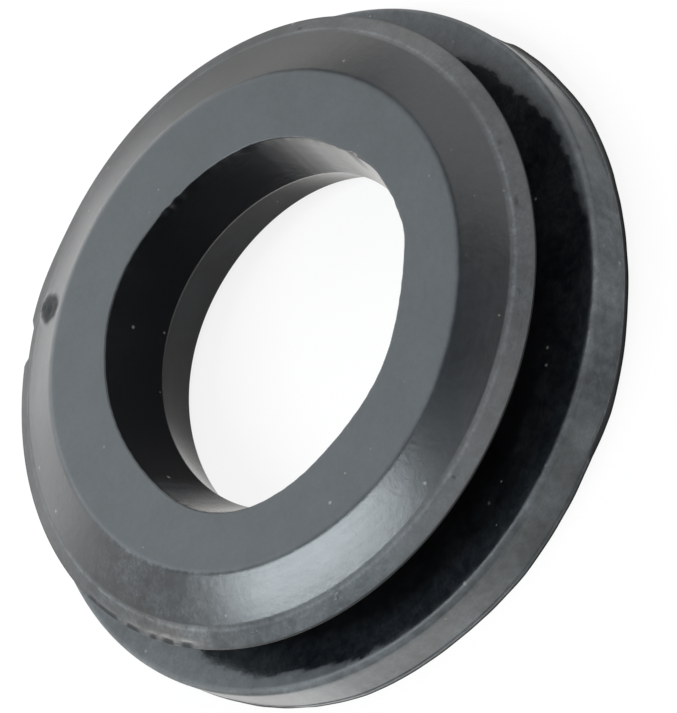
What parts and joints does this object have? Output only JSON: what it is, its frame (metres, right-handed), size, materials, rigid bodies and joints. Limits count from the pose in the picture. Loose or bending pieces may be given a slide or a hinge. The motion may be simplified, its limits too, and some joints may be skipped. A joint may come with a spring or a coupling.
{
  "type": "rubber vapor valve seal",
  "caption": "Moulded rubber ring that snaps into a sheet hole by the groove between its two flanges and grips a vapor valve's neck in its waisted bore.",
  "frame": {"origin": "centre of the rear flange's flat rear face, which the ring lies on", "axes": "+Z along the ring's axis, from the rear flange to the bevelled front face"},
  "size_m": [0.0359, 0.0359, 0.007],
  "materials": {
    "rubber": "satin moulded black rubber"
  },
  "bodies": {
    "root": {"seal": "rubber"}
  },
  "joints": []
}
